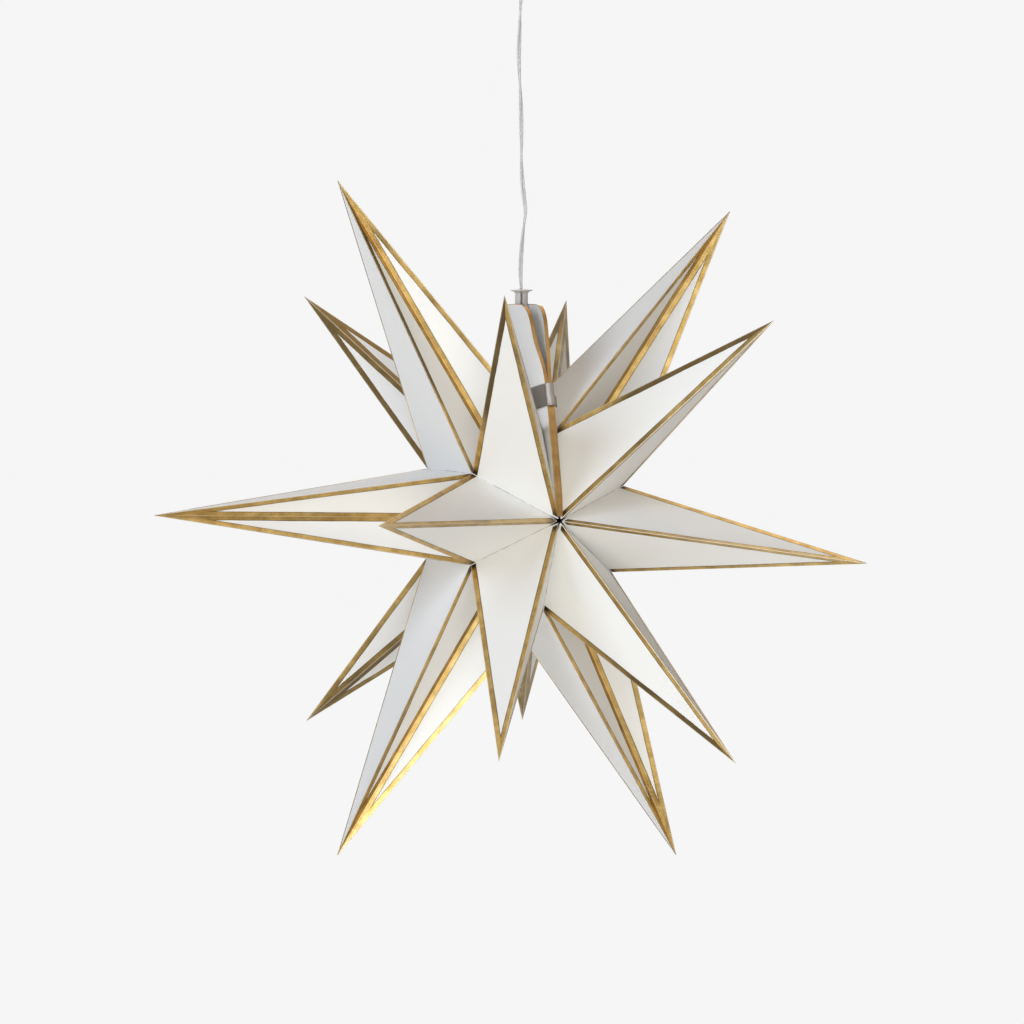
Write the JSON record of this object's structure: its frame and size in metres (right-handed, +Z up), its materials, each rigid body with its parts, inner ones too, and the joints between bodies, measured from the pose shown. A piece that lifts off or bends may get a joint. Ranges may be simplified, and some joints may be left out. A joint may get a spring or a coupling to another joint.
{
  "type": "paper advent star",
  "caption": "Hanging paper star lantern folded from white card with gold foil edges, pinched shut at the top by steel clips, on a clear cord with a lamp inside and a ceiling cup above.",
  "frame": {"origin": "on the ceiling, in the middle of the ceiling plate's upper face", "axes": "+Z up; -Y is the side that the star's front pole faces; +X to the right seen from that side. The star's spine runs along Y, 452 mm below the ceiling."},
  "size_m": [0.5991, 0.4178, 0.7227],
  "materials": {
    "card": "matt white card, folded",
    "gold_foil": "gold-lacquered foil with a fine brushed grain",
    "board": "stiff board faced with white paper",
    "clip_steel": "plain spring steel, slightly dark",
    "bushing_plastic": "milky off-white plastic",
    "cord_clear": "clear twisted twin cord with silvery wires",
    "holder_plastic": "white plastic",
    "brass": "plain",
    "frosted_bulb": "frosted white globe with a metal screw base",
    "plate_steel": "zinc-plated sheet steel",
    "cup_plastic": "smooth white plastic"
  },
  "bodies": {
    "root": {"sheet_1a": "card", "sheet_1b": "card", "sheet_2a": "card", "sheet_2b": "card", "sheet_3a": "card", "sheet_3b": "card", "sheet_4a": "card", "sheet_4b": "card", "sheet_5a": "card", "sheet_5b": "card", "sheet_6a": "card", "sheet_6b": "card", "edging_1a": "gold_foil", "edging_1b": "gold_foil", "edging_2a": "gold_foil", "edging_2b": "gold_foil", "edging_3a": "gold_foil", "edging_3b": "gold_foil", "edging_4a": "gold_foil", "edging_4b": "gold_foil", "edging_5a": "gold_foil", "edging_5b": "gold_foil", "edging_6a": "gold_foil", "edging_6b": "gold_foil", "end_board_left": "board", "end_board_right": "board", "board_edging_left": "gold_foil", "board_edging_right": "gold_foil", "front_clip": "clip_steel", "back_clip": "clip_steel", "cord_bushing": "bushing_plastic", "cord": "cord_clear", "holder_cap": "holder_plastic", "holder_body": "holder_plastic", "holder_terminals": "holder_plastic", "screw_shell": "brass", "centre_contact": "brass", "bulb": "frosted_bulb", "ceiling_plate": "plate_steel", "cup_nipple": "brass", "ceiling_cup": "cup_plastic", "cord_grip": "cup_plastic", "cup_terminals": "holder_plastic"}
  },
  "joints": []
}
